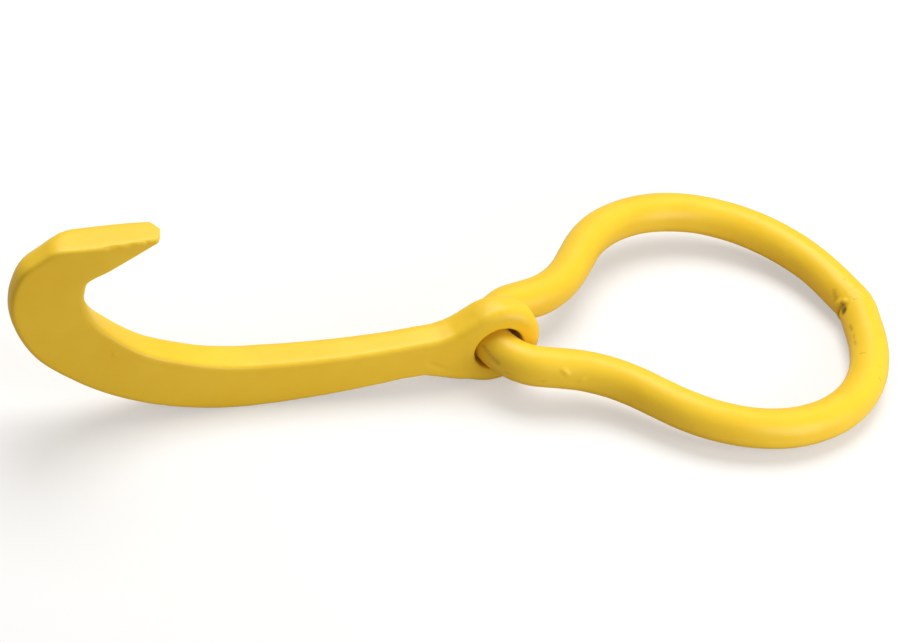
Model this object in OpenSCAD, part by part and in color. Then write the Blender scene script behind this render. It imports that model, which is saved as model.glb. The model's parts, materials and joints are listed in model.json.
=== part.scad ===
// Cant hook head: a forged hook hung by its eye on a welded ring of round bar.
// Millimetres, +Z up. The hook stands in the XZ plane and the ring lies to its +X side.
// The origin is on the ground, under the middle of the whole part.

/* [Ring bar] */
// Diameter of the round bar
bar_d = 16; // [12:0.5:20]
// Angle that each leg of the ring spreads from the middle line
leg_angle = 13.5; // [8:0.5:20]
// Straight length of each leg
leg_len = 12.5; // [6:0.5:30]
// Radius of the bend that flares each leg outwards
flare_r = 55; // [40:1:80]
// Angle of the flare
flare_angle = 32; // [24:0.5:40]
// Straight length between the flare and the loop
shoulder_len = 11.5; // [4:0.5:30]
// Radius of the loop that goes round the lever
loop_r = 63.8; // [50:0.1:80]
// Angle that each bar end is off square to the middle line
end_angle = 15; // [8:0.5:22]

/* [Weld] */
// Gap between the bar ends at the inside of the ring
root_gap = 1.6; // [1.2:0.1:4]
// Height of the weld bead over the bar
bead_h = 1.4; // [0.8:0.1:2.4]

/* [Eye] */
// Gap between the bar and the wall of the hole
hole_gap = 0.9; // [0.6:0.1:2.5]
// Wall of the eye round the hole
eye_wall = 8.4; // [6:0.1:12]
// Thickness of the eye
eye_t = 15.5; // [12:0.5:20]
// Rounding of the outer edges of the eye
eye_edge = 4; // [2:0.25:5]
// Rounding of the mouths of the hole
mouth_r = 2; // [1:0.25:3]
// Gap between the side of the eye and the bar where the ring bends round it
side_gap = 3.25; // [2:0.25:6]

/* [Shank] */
// Thickness of the shank and the bend
shank_t = 14.5; // [11:0.5:19]
// Rounding of the long edges
edge_r = 3; // [1:0.25:4]
// Distance from the eye's centre to the neck
neck_x = 30; // [26:0.5:45]
// Height of the neck
neck_h = 16; // [12:0.1:20]
// Radius of the shank's slight curve
shank_r = 405; // [300:5:600]
// Angle of that curve
shank_angle = 9.75; // [6:0.25:12]

/* [Belly and bend] */
// Height of the bar at the belly, where the hook stands on the ground
belly_h = 20.8; // [16:0.1:26]
// Radius of the belly
belly_r = 124; // [100:1:160]
// Angle of the belly
belly_angle = 38; // [30:0.5:46]
// Height of the bar where the belly runs into the bend
bend_h = 24.2; // [18:0.1:30]
// Radius of the bend
bend_r = 45; // [36:0.5:60]
// Angle of the bend
bend_angle = 30.5; // [22:0.5:40]

/* [Claw] */
// Height of the bar where the bend runs into the nose
throat_h = 27.8; // [20:0.2:32]
// Inner radius of the throat
throat_r = 9.5; // [8:0.25:14]
// Height of the bar at the middle of the nose
nose_h = 29.2; // [24:0.2:36]
// Angle of the nose, from the end of the bend to the heel
nose_angle = 64.5; // [50:0.5:72]
// Height of the bar at the heel, where the flat top of the claw begins
heel_h = 23; // [18:0.2:27]
// Rounding of the nose's outer edge on its far side
nose_edge = 11; // [3:0.25:11]
// Length of the flat top from heel to tip
claw_len = 41.5; // [32:0.5:55]
// Rounding of the claw's edges at the tip
claw_edge = 1; // [0.5:0.1:2]
// Thickness of the claw just behind its cut corners
claw_t = 11; // [8:0.25:14]
// Length of the cut corners
corner_len = 5; // [3:0.25:8]
// Height of the tip
tip_h = 1.6; // [1:0.1:4]
// Width of the tip's edge between its cut corners
tip_w = 5; // [3:0.25:7]

/* [Pose of the ring] */
// Angle that the ring lies turned to the hook
ring_yaw = 2.3; // [0:0.1:4]
// Angle that the ring lies rolled, its near side lower
ring_roll = 2.7; // [0:0.1:4]

/* [Hidden] */
$fn = 64;

bar_r = bar_d / 2;
// The bar bends and leans inside the eye, so the hole is wider than the bar by both and by the gap
inner_bend_r = eye_t / 2 + side_gap;
ring_bend_r = inner_bend_r + bar_r;
mouth_y = eye_t / 2 - mouth_r;
bend_sag = inner_bend_r - sqrt(pow(inner_bend_r, 2) - pow(mouth_y, 2));
lean = eye_t / 2 * sin(max(ring_yaw, ring_roll));
hole_r = bar_r + bend_sag / 2 + lean + hole_gap;
eye_r = hole_r + eye_wall;
seat_shift = (bend_sag + hole_gap) / 2;

// Walks along a path of [x, y, heading]: an arc turns right, or left where both r and a are negative
function turn(s, r, a) =
    let (h = s[2] - a)
    [s[0] + r * (sin(s[2]) - sin(h)), s[1] - r * (cos(s[2]) - cos(h)), h];
function ahead(s, l) = [s[0] + l * cos(s[2]), s[1] + l * sin(s[2]), s[2]];
function mix(a, b, f) = a + (b - a) * f;
// Direction square to a heading, to the left of travel
function left_of(h) = [-sin(h), cos(h)];
// Curve through a at the start, b half way and c at the end
function through(a, b, c, f) = a * (1 - f) * (1 - 2 * f) + 4 * b * f * (1 - f) + c * f * (2 * f - 1);

// Faces of a closed tube through rings of n points each
function tube_faces(rings, n) = concat(
    [[for (i = [0 : n - 1]) i]],
    [for (k = [0 : rings - 2], i = [0 : n - 1])
        let (j = (i + 1) % n)
        [k * n + i, (k + 1) * n + i, (k + 1) * n + j, k * n + j]],
    [[for (i = [n - 1 : -1 : 0]) (rings - 1) * n + i]]);

// One half of the ring's middle line, from the apex in the eye to the weld
apex_s = [-seat_shift, 0, 90];
leg_s = turn(apex_s, ring_bend_r, 90 - leg_angle);
flare_s = ahead(leg_s, leg_len);
shoulder_s = turn(flare_s, -flare_r, -flare_angle);
loop_s = ahead(shoulder_s, shoulder_len);
loop_angle = leg_angle + flare_angle + 90 - end_angle;
end_s = turn(loop_s, loop_r, loop_angle);
// The square-cut end stops where its inner corner leaves half the root gap
end_y = root_gap / 2 + bar_r * sin(end_angle);
end_len = (end_s[1] - end_y) / cos(end_angle);
face_s = ahead(end_s, end_len);

// Stations along the whole bar, from one cut end round through the eye to the other
function arc_line(s, r, a, steps) = [for (k = [0 : steps - 1]) turn(s, r, a * k / steps)];
apex_steps = 9;
flare_steps = 6;
loop_steps = 24;
half_bar = concat(
    arc_line(apex_s, ring_bend_r, 90 - leg_angle, apex_steps),
    [leg_s],
    arc_line(flare_s, -flare_r, -flare_angle, flare_steps),
    [shoulder_s],
    arc_line(loop_s, loop_r, loop_angle, loop_steps),
    [end_s, face_s]);
half_n = len(half_bar);
function mirrored(s) = [s[0], -s[1], 180 - s[2]];
whole_bar = concat(
    [for (k = [half_n - 1 : -1 : 1]) mirrored(half_bar[k])],
    half_bar);

// The bar as a round tube of rings square to those stations
bar_sides = 24;
bar_points = [for (s = whole_bar, i = [0 : bar_sides - 1])
    let (at = 360 * i / bar_sides, side = left_of(s[2]) * bar_r * cos(at))
    [s[0] + side[0], s[1] + side[1], bar_r * sin(at)]];
bar_faces = tube_faces(len(whole_bar), bar_sides);

// How the ring lies: rolled and turned on the eye, drooping until its low side meets the ground
function rolled(p) = [p[0], p[1] * cos(ring_roll), p[1] * sin(ring_roll)];
function yawed(p) =
    [p[0] * cos(ring_yaw) - p[1] * sin(ring_yaw), p[0] * sin(ring_yaw) + p[1] * cos(ring_yaw), p[2]];
function drooped(p, d) = [p[0] * cos(d) + p[2] * sin(d), p[1], p[2] * cos(d) - p[0] * sin(d)];
ring_line = [for (s = whole_bar) yawed(rolled([s[0], s[1], 0]))];
weld_mid = yawed(rolled([face_s[0], 0, 0]));
function low_point(d) = min(drooped(weld_mid, d)[2] - bead_h, min([for (p = ring_line) drooped(p, d)[2]]));
function settle(high, low, steps) =
    let (d = (high + low) / 2)
    steps == 0 ? d : low_point(d) > bar_r - eye_r ? settle(d, low, steps - 1) : settle(high, d, steps - 1);
// Most that the ring may rise or droop, and the halvings that close in on where it lies
most_rise = -10;
most_droop = 20;
halvings = 16;
ring_droop = settle(most_rise, most_droop, halvings);
lying_line = [for (p = ring_line) drooped(p, ring_droop)];

// The hook's middle line, from the neck to the nose
neck_z = belly_h / 2 - eye_r + shank_r * (1 - cos(shank_angle));
neck_s = [-neck_x, neck_z, 180 + shank_angle];
belly_s = turn(neck_s, shank_r, shank_angle);
bend_s = turn(belly_s, belly_r, belly_angle);
nose_s = turn(bend_s, bend_r, bend_angle);

// The nose and the claw's root fan out from the middle of the throat
throat_at = [nose_s[0], nose_s[1]] - left_of(nose_s[2]) * (throat_h / 2 + throat_r);
heel_heading = nose_s[2] - nose_angle;
heel_at = throat_at + left_of(heel_heading) * (throat_r + heel_h);
tip_top = heel_at + [claw_len, 0];
tip_under = tip_top - [0, tip_h];
// The claw's underside leaves the throat as its tangent through the tip
to_tip = tip_under - throat_at;
claw_heading = atan2(to_tip[1], to_tip[0]) + acos(throat_r / norm(to_tip)) - 90;
claw_under = throat_at + left_of(claw_heading) * throat_r;
claw_top = throat_at + left_of(claw_heading) * (heel_at[1] - throat_at[1]) / cos(claw_heading);

// Sections of the hook as [inner point, outer point, thickness, rounding, rounding of the outer far edge]
function across(s, h, far_r) =
    let (mid = [s[0], s[1]], half = left_of(s[2]) * h / 2)
    [mid - half, mid + half, shank_t, edge_r, far_r];
function fan(heading, reach, far_r) =
    let (ray = left_of(heading))
    [throat_at + ray * throat_r, throat_at + ray * reach, shank_t, edge_r, far_r];
// Heights and far roundings are given as pairs, at the start and the end of the arc
function arc_part(s, r, a, heights, far_rs, steps) =
    [for (k = [0 : steps - 1])
        let (f = k / steps)
        across(turn(s, r, a * f), mix(heights[0], heights[1], f), mix(far_rs[0], far_rs[1], f))];

// The neck widens into the eye, where its first section lies inside the disc
root_steps = 6;
root_x = hole_r;
root_h = 2 * sqrt(pow(eye_r - eye_edge / 2, 2) - pow(root_x, 2));
root_len = (neck_x - root_x) / cos(shank_angle);
root_part = [for (k = [0 : root_steps - 1])
    let (f = 1 - k / root_steps)
    across(ahead(neck_s, -root_len * f), mix(neck_h, root_h, f * f), edge_r)];
nose_steps = 14;
nose_part = [for (k = [0 : nose_steps - 1])
    let (f = k / nose_steps)
    fan(nose_s[2] - nose_angle * f, throat_r + through(throat_h, nose_h, heel_h, f), nose_edge)];
heel_steps = 6;
heel_part = [for (k = [0 : heel_steps - 1])
    let (f = k / heel_steps, h = mix(heel_heading, claw_heading, f))
    fan(h, (heel_at[1] - throat_at[1]) / cos(h), mix(nose_edge, edge_r, f))];
corner_at = 1 - corner_len / (tip_top[0] - claw_top[0]);
claw_steps = 4;
claw_part = [for (k = [0 : claw_steps])
    let (g = k / claw_steps, f = g * corner_at, r = mix(edge_r, claw_edge, g))
    [mix(claw_under, tip_under, f), mix(claw_top, tip_top, f), mix(shank_t, claw_t, g), r, r]];
tip_part = [[tip_under, tip_top, tip_w, claw_edge, claw_edge]];
shank_steps = 4;
belly_steps = 12;
bend_steps = 8;
plain = [edge_r, edge_r];
sections = concat(
    root_part,
    arc_part(neck_s, shank_r, shank_angle, [neck_h, belly_h], plain, shank_steps),
    arc_part(belly_s, belly_r, belly_angle, [belly_h, bend_h], plain, belly_steps),
    arc_part(bend_s, bend_r, bend_angle, [bend_h, throat_h], [edge_r, nose_edge], bend_steps),
    nose_part, heel_part, claw_part, tip_part);

// Outline of one section: a rectangle with round corners between its inner and outer point
corner_steps = 6;
corners = [[1, 1], [-1, 1], [-1, -1], [1, -1]];
function outline(section) =
    let (
        mid = (section[0] + section[1]) / 2,
        a = norm(section[0] - section[1]) / 2,
        b = section[2] / 2,
        inward = (section[0] - section[1]) / (2 * a),
        edge = min(section[3], 0.8 * min(a, b)),
        far_edge = max(edge, min(section[4], 0.8 * a, 2 * b - 1.1 * edge)))
    [for (q = [0 : 3], j = [0 : corner_steps])
        let (
            r = q == 1 ? far_edge : edge,
            at = 90 * (q + j / corner_steps),
            u = corners[q][0] * (a - r) + r * cos(at),
            v = corners[q][1] * (b - r) + r * sin(at))
        [mid[0] + u * inward[0], v, mid[1] + u * inward[1]]];
outline_n = 4 * (corner_steps + 1);
hook_points = [for (section = sections) each outline(section)];
hook_faces = tube_faces(len(sections), outline_n);

// The part stands on the ground, with the middle of its plan at the origin
plan_x = concat([for (p = hook_points) p[0]], [for (p = lying_line) p[0] + bar_r]);
plan_y = concat([for (p = lying_line) p[1] - bar_r], [for (p = lying_line) p[1] + bar_r]);
eye_at = [-(min(plan_x) + max(plan_x)) / 2, -(min(plan_y) + max(plan_y)) / 2, eye_r];

module at_eye() {
    translate(eye_at) children();
}

module as_ring_lies() {
    at_eye()
        rotate([0, ring_droop, 0])
            rotate([0, 0, ring_yaw])
                rotate([ring_roll, 0, 0])
                    children();
}

// Round disc of the eye, with rounded edges, about the hole's axis
module eye_disc() {
    rotate([90, 0, 0])
        rotate_extrude() {
            translate([0, -eye_t / 2])
                square([eye_r - eye_edge, eye_t]);
            translate([0, eye_edge - eye_t / 2])
                square([eye_r, eye_t - 2 * eye_edge]);
            for (side = [1, -1])
                translate([eye_r - eye_edge, side * (eye_t / 2 - eye_edge)])
                    circle(r = eye_edge);
        }
}

// Hole through the eye, with a rounded mouth on each side
module eye_hole() {
    rotate([90, 0, 0])
        rotate_extrude() {
            translate([0, -eye_t])
                square([hole_r, 2 * eye_t]);
            for (side = [0, 1])
                mirror([0, side])
                    difference() {
                        translate([0, eye_t / 2 - mouth_r])
                            square([hole_r + mouth_r, eye_t]);
                        translate([hole_r + mouth_r, eye_t / 2 - mouth_r])
                            circle(r = mouth_r);
                    }
        }
}

module hook() {
    color("gold")
        at_eye()
            difference() {
                union() {
                    polyhedron(hook_points, hook_faces, convexity = 6);
                    eye_disc();
                }
                eye_hole();
            }
}

module ring_bar() {
    color("gold")
        as_ring_lies()
            polyhedron(bar_points, bar_faces, convexity = 6);
}

// Weld metal that fills the notch between the square-cut bar ends and stands a little proud
module ring_weld() {
    reach = bar_r + bead_h;
    face = [face_s[0], face_s[1]];
    edge = [reach * cos(end_angle), reach * sin(end_angle)];
    notch = [face - edge, face + edge];
    color("goldenrod")
        as_ring_lies()
            intersection() {
                translate([face[0], 0, 0])
                    sphere(r = reach);
                translate([0, 0, -reach])
                    linear_extrude(2 * reach)
                        polygon([
                            notch[0],
                            notch[1],
                            [notch[1][0], -notch[1][1]],
                            [notch[0][0], -notch[0][1]]]);
            }
}

hook();
ring_bar();
ring_weld();
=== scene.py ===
import json
import math

import bmesh
import bpy
from mathutils import Matrix, Vector, noise


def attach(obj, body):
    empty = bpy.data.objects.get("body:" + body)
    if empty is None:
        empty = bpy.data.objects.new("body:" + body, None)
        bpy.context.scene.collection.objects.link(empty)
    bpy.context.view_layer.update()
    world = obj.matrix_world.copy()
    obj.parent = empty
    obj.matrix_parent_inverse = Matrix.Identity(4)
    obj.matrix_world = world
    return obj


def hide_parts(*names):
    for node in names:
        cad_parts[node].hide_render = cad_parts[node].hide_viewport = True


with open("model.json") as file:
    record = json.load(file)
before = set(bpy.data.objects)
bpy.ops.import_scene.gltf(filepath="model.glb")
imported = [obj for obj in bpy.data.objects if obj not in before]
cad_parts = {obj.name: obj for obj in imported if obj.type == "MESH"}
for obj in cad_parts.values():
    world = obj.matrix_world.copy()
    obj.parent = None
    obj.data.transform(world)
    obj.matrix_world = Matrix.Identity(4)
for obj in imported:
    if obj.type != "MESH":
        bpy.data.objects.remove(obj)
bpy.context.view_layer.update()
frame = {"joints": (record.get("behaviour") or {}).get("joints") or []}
eyeMiddle = Vector(frame["joints"][0]["pos_m"])  # middle of the hole in the hook's eye
print("frame loaded, eye at", [round(c, 4) for c in eyeMiddle])

# Pieces are modelled in millimetres about the eye and brought to metres when they are placed
toMetres = Matrix.Translation(eyeMiddle) @ Matrix.Scale(0.001, 4)
mergeGap = 0.005  # mm between vertices that are taken as one


def leftOf(heading):
    a = math.radians(heading)
    return Vector((-math.sin(a), math.cos(a), 0))


def along(heading):
    a = math.radians(heading)
    return Vector((math.cos(a), math.sin(a), 0))


def mix(a, b, f):
    return a + (b - a) * f


def ease(f):
    f = min(max(f, 0), 1)
    return f * f * (3 - 2 * f)


def fade(x, start, end):
    # eased share of the way from start to end
    return ease((x - start) / (end - start))


def bow(a, b, c, f):
    # curve through a, b and c at f of 0, a half and 1
    return a * (1 - f) * (1 - 2 * f) + 4 * b * f * (1 - f) + c * f * (2 * f - 1)


# Steps of a walk along a bent bar: a positive angle turns right
def turned(at, heading, radius, angle):
    side = -1 if angle > 0 else 1
    centre = at + leftOf(heading) * radius * side
    after = centre - leftOf(heading - angle) * radius * side
    return after, heading - angle


def newPiece(name, bm, body, node, paint, place):
    bmesh.ops.transform(bm, matrix=place, verts=bm.verts)
    mesh = bpy.data.meshes.new(name)
    bm.to_mesh(mesh)
    bm.free()
    for face in mesh.polygons:
        face.use_smooth = True
    mesh.materials.append(paint)
    piece = bpy.data.objects.new(name, mesh)
    bpy.context.scene.collection.objects.link(piece)
    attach(piece, body)
    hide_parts(node)
    print(name, "has", len(mesh.polygons), "faces")


# Uneven surface: each vertex moves along its normal by noise of a few sizes, in mm
def roughen(bm, waves, seed):
    bm.normal_update()
    shift = Vector((seed, 2 * seed, 3 * seed))
    moves = []
    for v in bm.verts:
        height = sum(amp * noise.noise(v.co / size + shift) for size, amp in waves)
        moves.append(v.normal * height)
    for v, move in zip(bm.verts, moves):
        v.co += move


# Dents and lumps in mm, each along a short line from one place to another, with its grime, and for the
# streaks by the eye painted shade instead
def addMarks(bm, marks):
    grimeAndShade = bm.verts.layers.float.get("grimeAndShade") or bm.verts.layers.float.new("grimeAndShade")
    bm.normal_update()
    for mark in marks:
        first, last = Vector(mark["from"]), Vector(mark.get("to", mark["from"]))
        run, radius = last - first, mark["radius"]
        for v in bm.verts:
            f = (v.co - first).dot(run) / run.length_squared if run.length else 0
            gap = (v.co - first - run * min(max(f, 0), 1)).length
            if gap < radius:
                share = ease(1 - gap / radius)
                v.co += v.normal * mark["height"] * share
                v[grimeAndShade] = max(v[grimeAndShade], mark["dirtAndShade"] * share)


def wire(tree, kind, inputs=None, **settings):
    node = tree.nodes.new(kind)
    for name, value in settings.items():
        setattr(node, name, value)
    for name, value in (inputs or {}).items():
        if isinstance(value, bpy.types.NodeSocket):
            tree.links.new(value, node.inputs[name])
        else:
            node.inputs[name].default_value = value
    return node


def mixColour(tree, share, first, second):
    # the colour sockets of a mix node are 6 and 7, and its colour result is 2
    return wire(tree, "ShaderNodeMix", {0: share, 6: first, 7: second}, data_type="RGBA").outputs[2]


paintLook = {
    "yellow": (0.94, 0.612, 0.032, 1),
    "thinYellow": (0.96, 0.65, 0.042, 1),
    # brown of the grime, also laid as painted shade in the streaks on the bar by the eye
    "grimeAndShadeBrown": (0.15, 0.07, 0.015, 1),
    "specular": 0.3,
    "roughness": (0.31, 0.44),  # drifts with the thickness of the paint
    "stainAndShadeDulls": 0.5,  # roughness added by full grime and painted shade
    "peel": 0.25,  # strength of the orange peel
    # noises: size per metre and detail
    "mottle": (55, 3),
    "grain": (1100, 2),
    "fleck": (1500, 4),
    "thinSpan": (0.35, 0.7),  # of the mottle, over which the paint gets thin
    "fleckShare": (0.25, 0.75),
    "stainAndShadeSpan": (0.1, 0.75),  # of the broken grime and painted shade, over which it shows
    "stainAndShadeMost": 0.9,
}


def yellowPaint(name, grainDepth):
    look = paintLook
    paint = bpy.data.materials.new(name)
    paint.use_nodes = True
    tree = paint.node_tree
    tree.nodes.clear()
    place = wire(tree, "ShaderNodeTexCoord").outputs["Object"]

    def noiseOf(kind):
        size, detail = look[kind]
        made = wire(tree, "ShaderNodeTexNoise", {"Vector": place, "Scale": size, "Detail": detail})
        return made.outputs["Fac"]

    def ranged(value, span, result):
        made = wire(tree, "ShaderNodeMapRange", {
            "Value": value, "From Min": span[0], "From Max": span[1],
            "To Min": result[0], "To Max": result[1]})
        return made.outputs["Result"]

    # broad drifts in the thickness of the paint
    mottle = noiseOf("mottle")
    base = mixColour(tree, ranged(mottle, look["thinSpan"], (0, 1)), look["yellow"], look["thinYellow"])
    # grime that gathers in dents and round the weld, and painted shade in the streaks by the eye, broken up
    # by fine flecks
    grimeAndShade = wire(tree, "ShaderNodeAttribute", attribute_name="grimeAndShade").outputs["Fac"]
    broken = ranged(noiseOf("fleck"), (0, 1), look["fleckShare"])
    brokenGrimeAndShade = wire(tree, "ShaderNodeMath", {0: grimeAndShade, 1: broken}, operation="MULTIPLY").outputs["Value"]
    stainAndShade = ranged(brokenGrimeAndShade, look["stainAndShadeSpan"], (0, look["stainAndShadeMost"]))
    colour = mixColour(tree, stainAndShade, base, look["grimeAndShadeBrown"])
    # gloss that drifts and is dulled by grime and painted shade, and slight orange peel
    gloss = ranged(mottle, (0, 1), look["roughness"])
    dull = wire(
        tree, "ShaderNodeMath", {0: stainAndShade, 1: look["stainAndShadeDulls"], 2: gloss}, operation="MULTIPLY_ADD")
    bump = wire(
        tree, "ShaderNodeBump",
        {"Height": noiseOf("grain"), "Strength": look["peel"], "Distance": grainDepth})
    shader = wire(
        tree, "ShaderNodeBsdfPrincipled",
        {"Base Color": colour, "Roughness": dull.outputs["Value"], "Normal": bump.outputs["Normal"],
         "Specular IOR Level": look["specular"]})
    wire(tree, "ShaderNodeOutputMaterial", {"Surface": shader.outputs["BSDF"]})
    return paint


# Camera

viewpoint = {
    "fromEye": (-0.62746, -1.00506, 0.94163),  # metres
    "aimFromEye": (-0.0144, 0.0098, 0.0012),
    "roll": 15.3,
    "lens": 154.5,
    "sensorWidth": 36,
}


def setCamera():
    data = bpy.data.cameras.new("camera")
    data.lens = viewpoint["lens"]
    data.sensor_width = viewpoint["sensorWidth"]
    camera = bpy.data.objects.new("camera", data)
    bpy.context.scene.collection.objects.link(camera)
    spot = eyeMiddle + Vector(viewpoint["fromEye"])
    look = eyeMiddle + Vector(viewpoint["aimFromEye"]) - spot
    turn = look.to_track_quat("-Z", "Y").to_matrix().to_4x4()
    roll = Matrix.Rotation(math.radians(viewpoint["roll"]), 4, "Z")
    camera.matrix_world = Matrix.Translation(spot) @ turn @ roll
    bpy.context.scene.camera = camera


setCamera()
print("camera set")


# Ring of round bar

ringBar = {
    "barR": 8,
    "sides": 96,
    "seatShift": 1.26,
    "eyeBendR": 19,
    "legAngle": 13.5,
    "legLen": 12.5,
    "flareR": 55,
    "flareAngle": 32,
    "shoulderLen": 11.5,
    "loopR": 63.8,
    "endAngle": 15,
    "endGap": 2.87,  # from the middle of a cut end to the ring's middle line
    "droop": 3.06,
    "yaw": 2.3,
    "roll": 2.7,
    "step": 0.8,  # length of one ring of faces along the bar
    # the far half isn't quite the near one's mirror image: its arc bulges, its leg stands nearer the
    # middle and its bend by the eye more so, each by some mm over a stretch along the ring
    "farArc": {"by": 0.5, "from": 70, "to": 110},
    "farLeg": {"by": -2.1, "from": 75, "to": 30},
    "farBend": {"by": -1.7, "from": 16, "to": 0},
    "farOver": 11,  # mm beside the middle line over which that sets in
    "waves": ((22, 0.16), (7, 0.07), (2.5, 0.02)),
    "seed": 4.7,
    "grainDepth": 0.00012,  # metres
    "marks": (
        # grime in the corner by the weld and flecks along the inner side
        {"from": (162.5, -2.9, 1.6), "radius": 3.6, "height": -0.7, "dirtAndShade": 1.8},
        {"from": (162.3, 6.5, 3.6), "to": (162.6, 2.2, 0.8), "radius": 2.6, "height": -0.15, "dirtAndShade": 0.6},
        {"from": (160, -13.3, 2.6), "to": (159.3, -15.6, 2.9), "radius": 1.7, "height": -0.12, "dirtAndShade": 0.7},
        {"from": (158.4, -18.8, 3.3), "to": (157.9, -20.4, 3), "radius": 1.3, "height": -0.12, "dirtAndShade": 0.65},
        {"from": (157, -22.4, 3), "to": (156.3, -24.6, 3.4), "radius": 1.5, "height": -0.12, "dirtAndShade": 0.6},
        # scratches
        {"from": (165.4, 9.1, 7.2), "to": (167.5, 9.3, 7.9), "radius": 0.7, "height": -0.2, "dirtAndShade": 0.7},
        {"from": (153.7, -32, 5.5), "to": (155.2, -32.7, 6.8), "radius": 0.7, "height": -0.2, "dirtAndShade": 0.75},
        {"from": (157, -41.3, 7.6), "to": (157.9, -42.3, 7.1), "radius": 0.7, "height": -0.2, "dirtAndShade": 0.75},
        {"from": (153.9, -47, 7), "to": (154.9, -48.4, 5.7), "radius": 0.7, "height": -0.2, "dirtAndShade": 0.75},
        # drips of paint, and painted shade: darker streaks on the bar where it leaves the eye
        {"from": (18.5, -26.2, 4.9), "to": (20.2, -27.4, 3.7), "radius": 1.5, "height": 0.45, "dirtAndShade": 0.1},
        {"from": (25.6, -29.6, 1.4), "to": (27.1, -29.7, 2.5), "radius": 1.2, "height": 0.35, "dirtAndShade": 0.1},
        {"from": (-7.8, -7.4, 2.5), "to": (-4.3, -15.5, 0.8), "radius": 2.2, "height": -0.1, "dirtAndShade": 0.6},
        {"from": (-1.7, -18.5, -1.5), "to": (12.1, -26.4, -0.3), "radius": 2.2, "height": 0, "dirtAndShade": 0.42},
    ),
}


def ringPlace():
    lie = Matrix.Rotation(math.radians(ringBar["droop"]), 4, "Y")
    lie = lie @ Matrix.Rotation(math.radians(ringBar["yaw"]), 4, "Z")
    lie = lie @ Matrix.Rotation(math.radians(ringBar["roll"]), 4, "X")
    return toMetres @ lie


def bendBar(bm, end, at, heading, radius, angle):
    after, newHeading = turned(at, heading, radius, angle)
    side = -1 if angle > 0 else 1
    steps = round(math.radians(abs(angle)) * radius / ringBar["step"])
    spun = bmesh.ops.spin(
        bm, geom=end, cent=at + leftOf(heading) * radius * side, axis=(0, 0, 1),
        angle=-math.radians(angle), steps=steps)
    return spun["geom_last"], after, newHeading


def runBar(bm, end, at, heading, length):
    steps = round(length / ringBar["step"])
    spun = bmesh.ops.spin(bm, geom=end, axis=(0, 0, 1), dvec=along(heading) * length / steps, steps=steps)
    return spun["geom_last"], at + along(heading) * length, heading


def buildRing(paint):
    bm = bmesh.new()
    at, heading = Vector((-ringBar["seatShift"], 0, 0)), 90
    stand = Matrix.Translation(at) @ Matrix.Rotation(math.radians(90), 4, "X")
    bmesh.ops.create_circle(bm, segments=ringBar["sides"], radius=ringBar["barR"], matrix=stand)
    end = bm.verts[:] + bm.edges[:]
    # one half of the bar, bent as a smith would, from the eye to the cut end
    loopAngle = ringBar["legAngle"] + ringBar["flareAngle"] + 90 - ringBar["endAngle"]
    end, at, heading = bendBar(bm, end, at, heading, ringBar["eyeBendR"], 90 - ringBar["legAngle"])
    end, at, heading = runBar(bm, end, at, heading, ringBar["legLen"])
    end, at, heading = bendBar(bm, end, at, heading, ringBar["flareR"], -ringBar["flareAngle"])
    end, at, heading = runBar(bm, end, at, heading, ringBar["shoulderLen"])
    end, at, heading = bendBar(bm, end, at, heading, ringBar["loopR"], loopAngle)
    endLen = (at.y - ringBar["endGap"]) / math.cos(math.radians(ringBar["endAngle"]))
    end, at, heading = runBar(bm, end, at, heading, endLen)
    bmesh.ops.edgeloop_fill(bm, edges=[e for e in end if isinstance(e, bmesh.types.BMEdge)])
    bmesh.ops.mirror(bm, geom=bm.verts[:] + bm.edges[:] + bm.faces[:], axis="Y", merge_dist=mergeGap)
    bmesh.ops.remove_doubles(bm, verts=bm.verts, dist=mergeGap)
    bmesh.ops.recalc_face_normals(bm, faces=bm.faces)
    shifts = [ringBar[part] for part in ("farArc", "farLeg", "farBend")]
    for v in bm.verts:
        move = sum(shift["by"] * fade(v.co.x, shift["from"], shift["to"]) for shift in shifts)
        v.co.y += move * fade(v.co.y, 0, ringBar["farOver"])
    roughen(bm, ringBar["waves"], ringBar["seed"])
    addMarks(bm, ringBar["marks"])
    newPiece("ring_bar_painted", bm, "ring", "ring_bar", paint, ringPlace())
    return at


# Weld that closes the ring

weldBead = {
    "halfLen": 7,  # along the ring, to where the bead runs out on the bar
    "steps": 50,
    "sides": 120,
    "proud": 0.25,
    "sink": 0.5,  # under the bar's skin at both edges
    "runOut": 1.5,  # how late the bead sinks towards its edges
    "waves": ((7, 0.25), (3, 0.2), (1.2, 0.07)),
    "seed": 9.1,
    "grainDepth": 0.0003,  # metres
    "marks": (
        # the crevice left on the ring's inner side, and a bead of metal above it
        {"from": (162.5, -2.2, 1.8), "to": (163.6, -1.5, -3.6), "radius": 3.2, "height": -2.2, "dirtAndShade": 2},
        {"from": (164.1, -0.1, 3.8), "radius": 1.9, "height": 0.8, "dirtAndShade": 0},
        {"from": (163.2, 0.6, 2.4), "to": (163.6, -1.1, 2.6), "radius": 1.2, "height": -0.1, "dirtAndShade": 1.2},
        {"from": (164.9, -1, 4.7), "radius": 0.9, "height": 0, "dirtAndShade": 1},
        # the bead stands proud on the outer side and underneath
        {"from": (179, 0, -2), "to": (173, 0, -8), "radius": 9, "height": 0.6, "dirtAndShade": 0},
        # thin lines over the top
        {"from": (165.8, -2.3, 6.4), "to": (167.2, -2.8, 7.2), "radius": 0.7, "height": -0.2, "dirtAndShade": 0.8},
        {"from": (168.2, -2.9, 7.6), "to": (169.4, -2.9, 7.9), "radius": 0.6, "height": -0.15, "dirtAndShade": 0.7},
        {"from": (171.2, -3.1, 7.9), "to": (172.9, -3.3, 7.8), "radius": 0.6, "height": -0.15, "dirtAndShade": 0.7},
        {"from": (163.4, 0, 0), "radius": 7, "height": 0, "dirtAndShade": 0.45},
    ),
}


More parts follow.
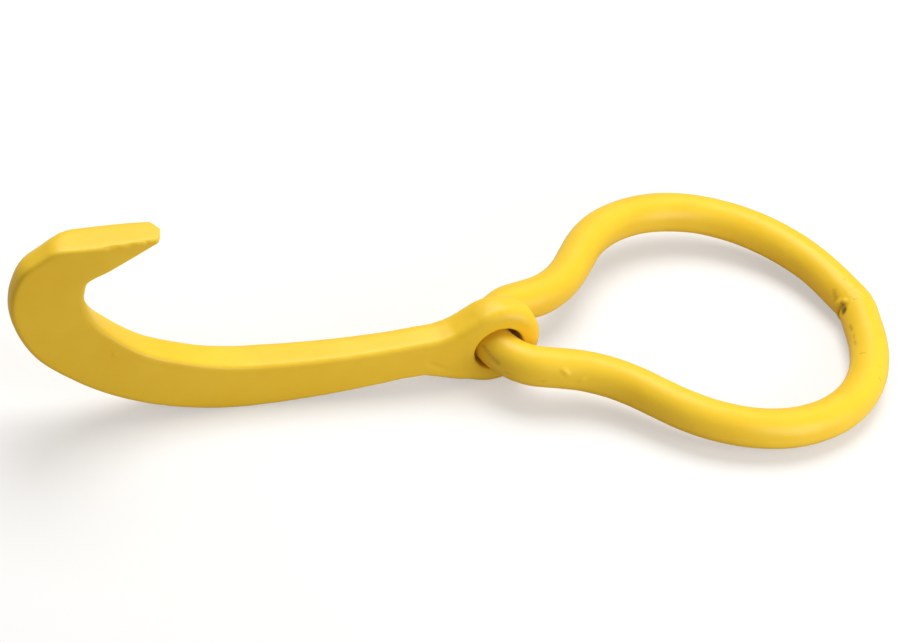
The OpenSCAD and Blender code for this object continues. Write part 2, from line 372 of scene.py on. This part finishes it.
def weldStation(f, endAt):
    # middle and heading of the bead at f from -1 to 1, rounding the corner between the bar's ends
    halfLen, lean = weldBead["halfLen"], ringBar["endAngle"]
    corner = Vector((endAt.x + endAt.y * math.tan(math.radians(lean)), 0, 0))
    first = corner - along(-90 + lean) * halfLen
    last = corner + along(-90 - lean) * halfLen
    t = (f + 1) / 2
    at = first * (1 - t) ** 2 + corner * 2 * t * (1 - t) + last * t ** 2
    return at, -90 + lean - 2 * lean * t


def buildWeld(paint, endAt):
    bm = bmesh.new()
    steps = weldBead["steps"]
    loop = []
    for k in range(steps + 1):
        f = 2 * k / steps - 1
        at, heading = weldStation(f, endAt)
        sunk = ease(abs(f) ** weldBead["runOut"])
        radius = ringBar["barR"] + mix(weldBead["proud"], -weldBead["sink"], sunk)
        face = Matrix.Translation(at) @ Matrix.Rotation(math.radians(heading - 90), 4, "Z")
        face = face @ Matrix.Rotation(math.radians(90), 4, "X")
        if not loop:
            bmesh.ops.create_circle(bm, segments=weldBead["sides"], radius=radius, matrix=face)
            loop = bm.edges[:]
            spot, size = face, radius
            bmesh.ops.edgeloop_fill(bm, edges=loop)
            continue
        grown = bmesh.ops.extrude_edge_only(bm, edges=loop)["geom"]
        verts = [g for g in grown if isinstance(g, bmesh.types.BMVert)]
        loop = [g for g in grown if isinstance(g, bmesh.types.BMEdge) and set(g.verts) <= set(verts)]
        bmesh.ops.transform(bm, matrix=face @ Matrix.Scale(radius / size, 4) @ spot.inverted(), verts=verts)
        spot, size = face, radius
    bmesh.ops.edgeloop_fill(bm, edges=loop)
    bmesh.ops.recalc_face_normals(bm, faces=bm.faces)
    roughen(bm, weldBead["waves"], weldBead["seed"])
    addMarks(bm, weldBead["marks"])
    newPiece("ring_weld_bead", bm, "ring", "ring_weld", paint, ringPlace())


# Forged hook

hookForging = {
    "thickness": 14.5,
    "edgeR": {"inner": 2.2, "outer": 1.8},  # rounding of the edges on the near side
    "farEdgeR": {"neck": 5.5, "shank": 3.2, "bend": 8, "nose": 11.5},  # and of those on the far side
    "neckX": 30,
    "neckH": 16,
    # the neck's upper and lower edge, from the shank to the eye's middle
    "neckTop": ((-31.4, 5.7), (-28, 6), (-22.5, 7.4), (-17.2, 10.1), (-12.1, 13.8), (-6.8, 17), (-1, 18.3)),
    "neckLow": ((-28.7, -10.1), (-24.2, -11.2), (-17.8, -12.9), (-11.4, -14.75), (-5, -16.9), (1.4, -18)),
    "neckFlank": 0.45,  # how much the neck thickens on each side
    "neckBlend": 1.6,  # how soon its upper far edge is as round as the eye's
    # swelling under the neck: where it sets in, and where a share of it goes again
    "lowSwell": {"rise": (-39, -28), "fall": (-14, -8), "depth": 1.2, "lost": 0.7},
    "shankR": 405,
    "shankAngle": 9.75,
    "bellyH": 20.8,
    "bellyR": 124,
    "bellyAngle": 38,
    "bendH": 24.6,
    "bendR": 45,
    "bendAngle": 30.5,
    "hollow": {"at": -147, "reach": 18, "depth": 0.8},  # slight hollow of the inner edge
    "throatH": 27.6,
    "throatR": 9.5,
    "cornerR": 3.2,  # tight corner between the throat and the claw's underside
    "noseH": 28.5,
    "flatTurn": 41.5,  # degrees round the throat to where the nose runs straight to the heel
    "flatH": 28.2,
    "noseAngle": 64.5,
    "heelH": 22.95,
    "cornerTurn": 55,  # degrees round the throat from where the far edge gets sharper up to the claw
    "heelEase": 5,  # degrees over which the heel is rounded
    "clawLen": 41.7,
    "clawEdge": 0.9,
    "clawNearEdge": 1.4,
    "clawBlend": 1.4,  # how soon the claw's edges get sharp
    "clawCrowd": 1.6,  # how much its sections crowd towards the tip
    "tipH": 1.05,
    "tipRise": 0.9,  # the claw's top rises a little towards the tip
    # how far the claw reaches to each side, from its root to the tip: (mm back from the tip, reach)
    "clawNear": ((27, 7.25), (3, 5.4), (1.5, 3.4), (0, -0.7)),
    "clawFar": ((27, 7.25), (2.7, 5.8), (1.2, 3.4), (0, 1.3)),
    "eyeR": 18.48,
    "eyeT": 15.5,
    "eyeEdge": 4.9,
    "eyeFarEdge": 7.4,
    "holeR": 10.08,
    "mouthR": 0.8,
    "roundMost": 0.8,  # share of half a section that a rounding may take
    "steps": {
        "neck": 32, "shank": 16, "belly": 36, "bend": 20, "fan": 76, "claw": 48,
        "corner": 8, "eye": 120, "hole": 96},
    "voxel": 0.54,
    "smoothing": {"passes": 3, "factor": 0.5},
    "waves": ((26, 0.2), (9, 0.08), (3, 0.025)),
    "seed": 2.3,
    "grainDepth": 0.00012,  # metres
    "marks": (
        # a pimple on the side, a nick by the heel and chips along the claw's edge
        {"from": (-161.1, -7.3, 15.8), "radius": 1.6, "height": 0.3, "dirtAndShade": 0},
        {"from": (-196.3, -7.2, 64.7), "to": (-194.7, -7.2, 65.6),
         "radius": 0.9, "height": -0.3, "dirtAndShade": 0.9},
        {"from": (-163.3, -6.8, 67.7), "to": (-162, -6.6, 67.8), "radius": 2, "height": -0.35, "dirtAndShade": 0.25},
        {"from": (-171, -7, 67.6), "to": (-168.4, -6.9, 67.7), "radius": 1.8, "height": -0.3, "dirtAndShade": 0.25},
        {"from": (-156.6, -5.2, 67.9), "radius": 1.6, "height": -0.3, "dirtAndShade": 0.3},
        {"from": (-151.2, -3.2, 66.9), "radius": 1.6, "height": 0, "dirtAndShade": 0.8},
        # forging marks on the neck
        {"from": (-22.2, -6.5, -10.9), "radius": 1, "height": -0.15, "dirtAndShade": 0.6},
        {"from": (-28.2, -7.3, -4.8), "to": (-21, -7.3, -8.3), "radius": 1.8, "height": -0.3, "dirtAndShade": 0.2},
    ),
}


def through(points, x):
    # smooth curve through the points, with each slope taken from the neighbours
    last = len(points) - 1
    k = max([0] + [i for i in range(last) if points[i][0] <= x])
    slopes = []
    for i in (k, k + 1):
        (x0, y0), (x1, y1) = points[max(i - 1, 0)], points[min(i + 1, last)]
        slopes.append((y1 - y0) / (x1 - x0))
    (x0, y0), (x1, y1) = points[k], points[k + 1]
    return mix(y0 + slopes[0] * (x - x0), y1 + slopes[1] * (x - x1), fade(x, x0, x1))


def reachAt(table, back):
    # straight between the given points
    for (b0, r0), (b1, r1) in zip(table, table[1:]):
        if b0 >= back >= b1:
            return mix(r0, r1, (b0 - back) / (b0 - b1))
    return table[0][1]


# Sections as [inner point, outer point, near reach, far reach, corner roundings], drawn in X and Y
# with the corners in the order inner far, outer far, outer near, inner near
def hookSections():
    h = hookForging
    half = h["thickness"] / 2
    near = h["edgeR"]
    far = h["farEdgeR"]
    steps = h["steps"]
    sections = []

    def put(inner, outer, innerFar, outerFar):
        swell = h["lowSwell"]
        share = fade(outer.x, *swell["rise"]) - swell["lost"] * fade(outer.x, *swell["fall"])
        outer = outer - Vector((0, swell["depth"] * share, 0))
        sections.append([inner, outer, half, half, [innerFar, outerFar, near["outer"], near["inner"]]])

    def putNeck(inner, outer, f):
        # the neck takes on the roundings of the eye
        innerFar = mix(far["neck"], h["eyeFarEdge"], ease(h["neckBlend"] * f))
        put(inner, outer, innerFar, mix(far["shank"], h["eyeFarEdge"], f))
        wide = half + h["neckFlank"] * ease(f)
        sections[-1][2:4] = wide, wide
        sections[-1][4][2:] = (mix(near[edge], h["eyeEdge"], f * f) for edge in ("outer", "inner"))

    def across(at, heading, height, innerFar, outerFar):
        side = leftOf(heading) * height / 2
        hollow = h["hollow"]
        inner = at - side
        share = ease(1 - abs(inner.x - hollow["at"]) / hollow["reach"])
        put(inner + leftOf(heading) * hollow["depth"] * share, at + side, innerFar, outerFar)

    def arc(at, heading, radius, angle, heights, innerFar, outerFar, count):
        for k in range(count):
            f = k / count
            spot, way = turned(at, heading, radius, angle * f)
            across(spot, way, mix(*heights, f), mix(*innerFar, ease(f)), mix(*outerFar, f))
        return turned(at, heading, radius, angle)

    neckDrop = h["bellyH"] / 2 - h["eyeR"] + h["shankR"] * (1 - math.cos(math.radians(h["shankAngle"])))
    at = Vector((-h["neckX"], neckDrop, 0))
    heading = 180 + h["shankAngle"]
    # the neck widens into the eye, above and below
    side = leftOf(heading) * h["neckH"] / 2
    for k in range(steps["neck"]):
        f = 1 - k / steps["neck"]
        top = (at - side).x + h["neckX"] * f
        low = (at + side).x + h["neckX"] * f
        putNeck(Vector((top, through(h["neckTop"], top), 0)), Vector((low, through(h["neckLow"], low), 0)), f)
    shank, bend, nose = far["shank"], far["bend"], far["nose"]
    at, heading = arc(
        at, heading, h["shankR"], h["shankAngle"], (h["neckH"], h["bellyH"]),
        (far["neck"], shank), (shank, shank), steps["shank"])
    at, heading = arc(
        at, heading, h["bellyR"], h["bellyAngle"], (h["bellyH"], h["bendH"]),
        (shank, shank), (shank, bend), steps["belly"])
    at, heading = arc(
        at, heading, h["bendR"], h["bendAngle"], (h["bendH"], h["throatH"]),
        (shank, shank), (bend, nose), steps["bend"])

    # nose and claw root fan out from the middle of the throat
    throat = at - leftOf(heading) * (h["throatH"] / 2 + h["throatR"])
    start = heading
    heelHeading = start - h["noseAngle"]
    flatHeading = start - h["flatTurn"]
    flat = leftOf(flatHeading) * (h["throatR"] + h["flatH"])
    heel = leftOf(heelHeading) * (h["throatR"] + h["heelH"])
    tipTop = heel + Vector((h["clawLen"], h["tipRise"], 0))
    tipUnder = tipTop - Vector((0, h["tipH"], 0))
    tangent = math.acos(h["throatR"] / tipUnder.length)
    clawHeading = math.degrees(math.atan2(tipUnder.y, tipUnder.x) + tangent) - 90

    def outerReach(way):
        f = (start - way) / h["flatTurn"]
        ray, chord = leftOf(way), heel - flat
        if f < 1:
            return h["throatR"] + bow(h["throatH"], h["noseH"], h["flatH"], f)
        if way > heelHeading:
            return (flat.x * chord.y - flat.y * chord.x) / (ray.x * chord.y - ray.y * chord.x)
        return heel.y / ray.y

    def easedReach(way):
        # mean over a few degrees, which rounds the heel
        shares = [k / 4 for k in range(-4, 5)]
        return sum(outerReach(way + h["heelEase"] * share) for share in shares) / len(shares)

    def innerReach(way):
        # round the throat, then upright to the tight corner under the claw
        r, corner = h["throatR"], h["cornerR"]
        if way > 90:
            return r
        wide = math.radians(90 - clawHeading) / 2
        off = abs(math.radians(way - clawHeading) - wide)
        out = (r - corner) / math.cos(wide)
        if off > wide - math.atan(out * math.sin(wide) / r):
            return r / math.cos(wide - off)
        return out * math.cos(off) + math.sqrt(corner ** 2 - (out * math.sin(off)) ** 2)

    for k in range(steps["fan"]):
        way = mix(start, clawHeading, k / steps["fan"])
        rounding = mix(nose, shank, fade(way, start - h["cornerTurn"], clawHeading))
        put(throat + leftOf(way) * innerReach(way), throat + leftOf(way) * easedReach(way), shank, rounding)
    rootUnder = throat + leftOf(clawHeading) * innerReach(clawHeading)
    rootTop = throat + leftOf(clawHeading) * outerReach(clawHeading)
    tipTop, tipUnder = throat + tipTop, throat + tipUnder
    clawRun = tipTop.x - rootTop.x
    for k in range(steps["claw"] + 1):
        f = 1 - (1 - k / steps["claw"]) ** h["clawCrowd"]
        back = clawRun * (1 - f)
        rounding = mix(shank, h["clawEdge"], ease(h["clawBlend"] * f))
        nearRound = mix(near["outer"], h["clawNearEdge"], ease(h["clawBlend"] * f))
        sections.append([
            rootUnder.lerp(tipUnder, f), rootTop.lerp(tipTop, f),
            reachAt(h["clawNear"], back), reachAt(h["clawFar"], back),
            [rounding, rounding, nearRound, nearRound]])
    return sections


def sectionOutline(section):
    inner, outer, near, far, roundings = section
    middle, half = (inner + outer) / 2, (inner - outer).length / 2
    inward = (inner - outer).normalized()
    wide = (near + far) / 2
    most, count = hookForging["roundMost"], hookForging["steps"]["corner"]
    points = []
    for q, (su, sv) in enumerate(((1, 1), (-1, 1), (-1, -1), (1, -1))):
        r = min(roundings[q], most * half)
        # a rounding larger than half the width may run on past the middle
        rv = min(roundings[q], most * wide if roundings[q] < wide else 2 * most * wide)
        for j in range(count + 1):
            a = math.radians(90 * (q + j / count))
            spot = middle + inward * (su * (half - r) + r * math.cos(a))
            depth = (far - rv if sv > 0 else rv - near) + rv * math.sin(a)
            points.append(Vector((spot.x, depth, spot.y)))
    return points


def loftHook(bm):
    sections = hookSections()
    place = bm.verts.layers.int.new("place")
    first = [bm.verts.new(p) for p in sectionOutline(sections[0])]
    for i, v in enumerate(first):
        v[place] = i
    loop = list(bm.faces.new(first).edges)
    for section in sections[1:]:
        grown = bmesh.ops.extrude_edge_only(bm, edges=loop)["geom"]
        points = sectionOutline(section)
        verts = {g for g in grown if isinstance(g, bmesh.types.BMVert)}
        for v in verts:
            v.co = points[v[place]]
        loop = [g for g in grown if isinstance(g, bmesh.types.BMEdge) and set(g.verts) <= verts]
    bmesh.ops.edgeloop_fill(bm, edges=loop)


def spinEye(bm):
    # ring of the eye, turned about the hole's axis from a rounded section
    h = hookForging
    flat = h["eyeT"] / 2
    corners = [bm.verts.new((x, y, 0)) for x, y in
               ((h["holeR"], -flat), (h["eyeR"], -flat), (h["eyeR"], flat), (h["holeR"], flat))]
    bm.faces.new(corners)
    rounded = (
        (corners[1:2], h["eyeEdge"]),
        (corners[2:3], h["eyeFarEdge"]),
        ([corners[0], corners[3]], h["mouthR"]))
    for verts, rounding in rounded:
        bmesh.ops.bevel(
            bm, geom=verts, offset=rounding, offset_type="OFFSET", affect="VERTICES",
            segments=h["steps"]["corner"], profile=0.5, material=-1)
    bmesh.ops.delete(bm, geom=bm.faces[:], context="FACES_ONLY")
    bmesh.ops.spin(
        bm, geom=bm.verts[:] + bm.edges[:], axis=(0, 1, 0), angle=math.radians(360),
        steps=h["steps"]["eye"], use_merge=True)
    bmesh.ops.remove_doubles(bm, verts=bm.verts, dist=mergeGap)
    bmesh.ops.recalc_face_normals(bm, faces=bm.faces)


def scratchObject(name, bm):
    bmesh.ops.recalc_face_normals(bm, faces=bm.faces)
    mesh = bpy.data.meshes.new(name)
    bm.to_mesh(mesh)
    bm.free()
    obj = bpy.data.objects.new(name, mesh)
    bpy.context.scene.collection.objects.link(obj)
    return obj


def takeMesh(obj):
    # the object's mesh with its modifiers, and the object removed
    mesh = bpy.data.meshes.new_from_object(obj.evaluated_get(bpy.context.evaluated_depsgraph_get()))
    bpy.data.objects.remove(obj)
    return mesh


def buildHook(paint):
    h = hookForging
    bm = bmesh.new()
    loftHook(bm)
    bar = scratchObject("bar", bm)
    # the bar's end is cut clear of the hole and its rounded mouths
    bm = bmesh.new()
    clearR = h["holeR"] + h["mouthR"]
    bmesh.ops.create_cone(
        bm, cap_ends=True, segments=h["steps"]["hole"], radius1=clearR, radius2=clearR,
        depth=2 * h["eyeT"], matrix=Matrix.Rotation(math.radians(90), 4, "X"))
    drill = scratchObject("drill", bm)
    cut = bar.modifiers.new("cut", "BOOLEAN")
    cut.operation = "DIFFERENCE"
    cut.object = drill
    bm = bmesh.new()
    spinEye(bm)
    bm.from_mesh(takeMesh(bar))
    bpy.data.objects.remove(drill)
    # one skin over shank and eye
    rough = scratchObject("rough", bm)
    skin = rough.modifiers.new("skin", "REMESH")
    skin.mode = "VOXEL"
    skin.voxel_size = h["voxel"]
    bm = bmesh.new()
    bm.from_mesh(takeMesh(rough))
    for turn in range(h["smoothing"]["passes"]):
        bmesh.ops.smooth_vert(
            bm, verts=bm.verts, factor=h["smoothing"]["factor"],
            use_axis_x=True, use_axis_y=True, use_axis_z=True)
    roughen(bm, h["waves"], h["seed"])
    addMarks(bm, h["marks"])
    newPiece("hook_forging_painted", bm, "hook", "hook", paint, toMetres)


endAt = buildRing(yellowPaint("ringPaint", ringBar["grainDepth"]))
buildWeld(yellowPaint("weldPaint", weldBead["grainDepth"]), endAt)
buildHook(yellowPaint("hookPaint", hookForging["grainDepth"]))


# Floor and light

studio = {
    "white": (1, 1, 1, 1),
    "floorSize": 6,
    "floorGrey": (0.55, 0.55, 0.55, 1),
    "bounceTone": (0.55, 0.5, 0.43, 1),  # warmer where the floor only lights the steel
    "floorGlow": 0.42,  # what the camera sees besides, so that the floor is white
    "worldLight": 0.3,
    "worldTone": (1, 0.94, 0.84, 1),
    "topLamp": {"at": (0.15, 0.5, 1.35), "size": 1.2, "watts": 19},
    "sideLamp": {"at": (0.48, -0.52, 0.24), "size": 0.5, "watts": 2.6},
}


def areaLamp(name, lamp):
    data = bpy.data.lights.new(name, "AREA")
    data.shape = "DISK"
    data.size = lamp["size"]
    data.energy = lamp["watts"]
    obj = bpy.data.objects.new(name, data)
    obj.location = lamp["at"]
    obj.rotation_euler = (-Vector(lamp["at"])).to_track_quat("-Z", "Y").to_euler()
    bpy.context.scene.collection.objects.link(obj)


def makeFloor():
    bm = bmesh.new()
    bmesh.ops.create_grid(bm, x_segments=1, y_segments=1, size=studio["floorSize"] / 2)
    mesh = bpy.data.meshes.new("floor")
    bm.to_mesh(mesh)
    bm.free()
    floor = bpy.data.objects.new("floor", mesh)
    bpy.context.scene.collection.objects.link(floor)
    paint = bpy.data.materials.new("floorWhite")
    paint.use_nodes = True
    tree = paint.node_tree
    tree.nodes.clear()
    seen = wire(tree, "ShaderNodeLightPath").outputs["Is Camera Ray"]
    share = wire(tree, "ShaderNodeMath", {0: seen, 1: studio["floorGlow"]}, operation="MULTIPLY")
    tone = mixColour(tree, seen, studio["bounceTone"], studio["floorGrey"])
    matt = wire(tree, "ShaderNodeBsdfDiffuse", {"Color": tone})
    glow = wire(
        tree, "ShaderNodeEmission", {"Color": studio["white"], "Strength": share.outputs["Value"]})
    blend = wire(tree, "ShaderNodeAddShader", {0: matt.outputs["BSDF"], 1: glow.outputs["Emission"]})
    wire(tree, "ShaderNodeOutputMaterial", {"Surface": blend.outputs["Shader"]})
    mesh.materials.append(paint)


def makeWorld():
    world = bpy.data.worlds.new("studio")
    bpy.context.scene.world = world
    world.use_nodes = True
    tree = world.node_tree
    tree.nodes.clear()
    seen = wire(tree, "ShaderNodeLightPath").outputs["Is Camera Ray"]
    soft = wire(
        tree, "ShaderNodeBackground", {"Color": studio["worldTone"], "Strength": studio["worldLight"]})
    plain = wire(tree, "ShaderNodeBackground", {"Color": studio["white"], "Strength": 1})
    blend = wire(
        tree, "ShaderNodeMixShader",
        {0: seen, 1: soft.outputs["Background"], 2: plain.outputs["Background"]})
    wire(tree, "ShaderNodeOutputWorld", {"Surface": blend.outputs["Shader"]})


makeFloor()
makeWorld()
areaLamp("topLamp", studio["topLamp"])
areaLamp("sideLamp", studio["sideLamp"])
bpy.context.scene.view_settings.view_transform = "Standard"
print("stage lit")
